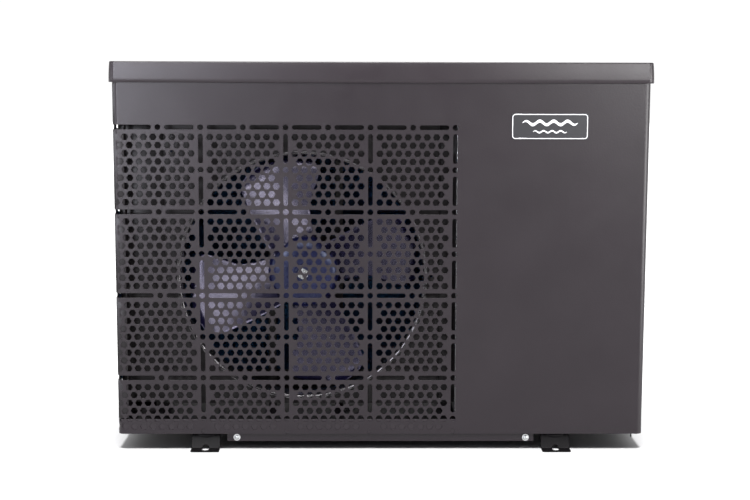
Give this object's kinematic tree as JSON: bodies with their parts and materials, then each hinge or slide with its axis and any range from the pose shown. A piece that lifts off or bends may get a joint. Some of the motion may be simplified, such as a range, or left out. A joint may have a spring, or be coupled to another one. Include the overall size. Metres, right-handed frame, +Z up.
{
  "type": "swimming pool heat pump",
  "caption": "Outdoor pool heat pump: perforated dark steel cabinet on foot rails, with fan, coil, compressor, water exchanger and side controller.",
  "frame": {"origin": "on the floor, under the middle of the cabinet and of its feet", "axes": "+Z up, the perforated front faces -Y, +X to the right seen from the front"},
  "size_m": [0.894, 0.359, 0.648],
  "materials": {
    "cabinet_coat": "charcoal fine-textured powder coat, semi-gloss",
    "foot_coat": "black paint, satin",
    "pan_coat": "dark grey coat, satin",
    "black_plastic": "fine-textured black plastic",
    "guard_coat": "black coated wire guard, satin",
    "badge_face": "dark anodised plate with a bright edge line",
    "zinc_steel": "zinc plated",
    "orifice_steel": "grey coated sheet with a bright lip",
    "fan_plastic": "dark blue-grey moulded plastic, satin",
    "bearing_steel": "ground steel",
    "motor_resin": "moulded motor body",
    "motor_aluminium": "die-cast, satin",
    "rotor_iron": "ground laminations",
    "coil_fins": "blue coated fins",
    "copper": "drawn copper tube, brazed joints",
    "valve_brass": "machined brass",
    "compressor_coat": "black painted steel shell",
    "mount_rubber": "moulded rubber",
    "pvc": "grey PVC, satin",
    "titanium": "bare titanium tube",
    "nut_plastic": "black ribbed plastic",
    "switch_red": "red moulded case",
    "board_green": "green laminate with black parts",
    "terminal_plastic": "cream moulded block",
    "display_glass": "dark display window",
    "button_rubber": "grey keys",
    "smoked_plastic": "smoked clear flip cover",
    "gauge_metal": "black gauge case",
    "gauge_glass": "clear lens",
    "needle_red": "red needle"
  },
  "bodies": {
    "cabinet": {"front_panel": "cabinet_coat", "left_side_grille": "cabinet_coat", "right_side_panel": "cabinet_coat", "rear_panel": "cabinet_coat", "top_cover": "cabinet_coat", "foot_rail_left": "foot_coat", "foot_rail_right": "foot_coat", "base_pan": "pan_coat", "drain_nipple": "black_plastic", "cable_gland": "black_plastic", "controller_bezel": "black_plastic", "rear_coil_guard": "guard_coat", "badge_plate": "badge_face", "skirt_screw_left": "zinc_steel", "skirt_screw_right": "zinc_steel", "motor_bracket": "zinc_steel", "partition_plate": "zinc_steel", "control_box": "zinc_steel", "control_box_cover": "zinc_steel", "fan_orifice_plate": "orifice_steel", "motor_bearing_front": "bearing_steel", "motor_bearing_rear": "bearing_steel", "motor_housing": "motor_resin", "motor_end_cover": "motor_aluminium", "evaporator_coil": "coil_fins", "coil_end_plate": "copper", "coil_header": "copper", "discharge_pipe": "copper", "suction_pipe": "copper", "liquid_pipe": "copper", "four_way_valve": "valve_brass", "expansion_valve": "valve_brass", "compressor": "compressor_coat", "accumulator": "compressor_coat", "compressor_mount_front": "mount_rubber", "compressor_mount_left": "mount_rubber", "compressor_mount_right": "mount_rubber", "exchanger_shell": "pvc", "exchanger_cap": "pvc", "water_inlet_pipe": "pvc", "water_outlet_pipe": "pvc", "titanium_coil": "titanium", "flow_switch": "switch_red", "circuit_board": "board_green", "terminal_block": "terminal_plastic", "controller_display": "display_glass", "gauge_case": "gauge_metal", "gauge_lens": "gauge_glass"},
    "fan": {"fan_propeller": "fan_plastic", "fan_nut": "zinc_steel", "motor_shaft": "bearing_steel", "motor_rotor": "rotor_iron"},
    "inlet_nut": {"union_nut_inlet": "nut_plastic"},
    "outlet_nut": {"union_nut_outlet": "nut_plastic"},
    "controller_door": {"controller_cover": "smoked_plastic"},
    "power_key": {"button_power": "button_rubber"},
    "mode_key": {"button_mode": "button_rubber"},
    "up_key": {"button_up": "button_rubber"},
    "down_key": {"button_down": "button_rubber"},
    "needle": {"gauge_needle": "needle_red"}
  },
  "joints": [
    {"name": "fan_spin", "type": "hinge", "parent": "cabinet", "child": "fan", "pos_m": [-0.1326, -0.06, 0.29], "axis": [0, 1, 0], "continuous": true},
    {"name": "inlet_nut_turn", "type": "hinge", "parent": "cabinet", "child": "inlet_nut", "pos_m": [0.34, 0.165, 0.09], "axis": [0, 1, 0], "continuous": true},
    {"name": "outlet_nut_turn", "type": "hinge", "parent": "cabinet", "child": "outlet_nut", "pos_m": [0.34, 0.165, 0.4], "axis": [0, 1, 0], "continuous": true},
    {"name": "controller_cover_hinge", "type": "hinge", "parent": "cabinet", "child": "controller_door", "pos_m": [0.4449, 0, 0.5446], "axis": [0, -1, 0], "range_deg": [0, 105]},
    {"name": "gauge_needle_turn", "type": "hinge", "parent": "cabinet", "child": "needle", "pos_m": [0.438, -0.06, 0.345], "axis": [-1, 0, 0], "range_deg": [-108, 162], "stiffness_Nm_per_rad": 0.002},
    {"name": "power_key_press", "type": "slide", "parent": "cabinet", "child": "power_key", "axis": [-1, 0, 0], "range_m": [0, 0.001], "stiffness_N_per_m": 600},
    {"name": "mode_key_press", "type": "slide", "parent": "cabinet", "child": "mode_key", "axis": [-1, 0, 0], "range_m": [0, 0.001], "stiffness_N_per_m": 600},
    {"name": "up_key_press", "type": "slide", "parent": "cabinet", "child": "up_key", "axis": [-1, 0, 0], "range_m": [0, 0.001], "stiffness_N_per_m": 600},
    {"name": "down_key_press", "type": "slide", "parent": "cabinet", "child": "down_key", "axis": [-1, 0, 0], "range_m": [0, 0.001], "stiffness_N_per_m": 600}
  ]
}
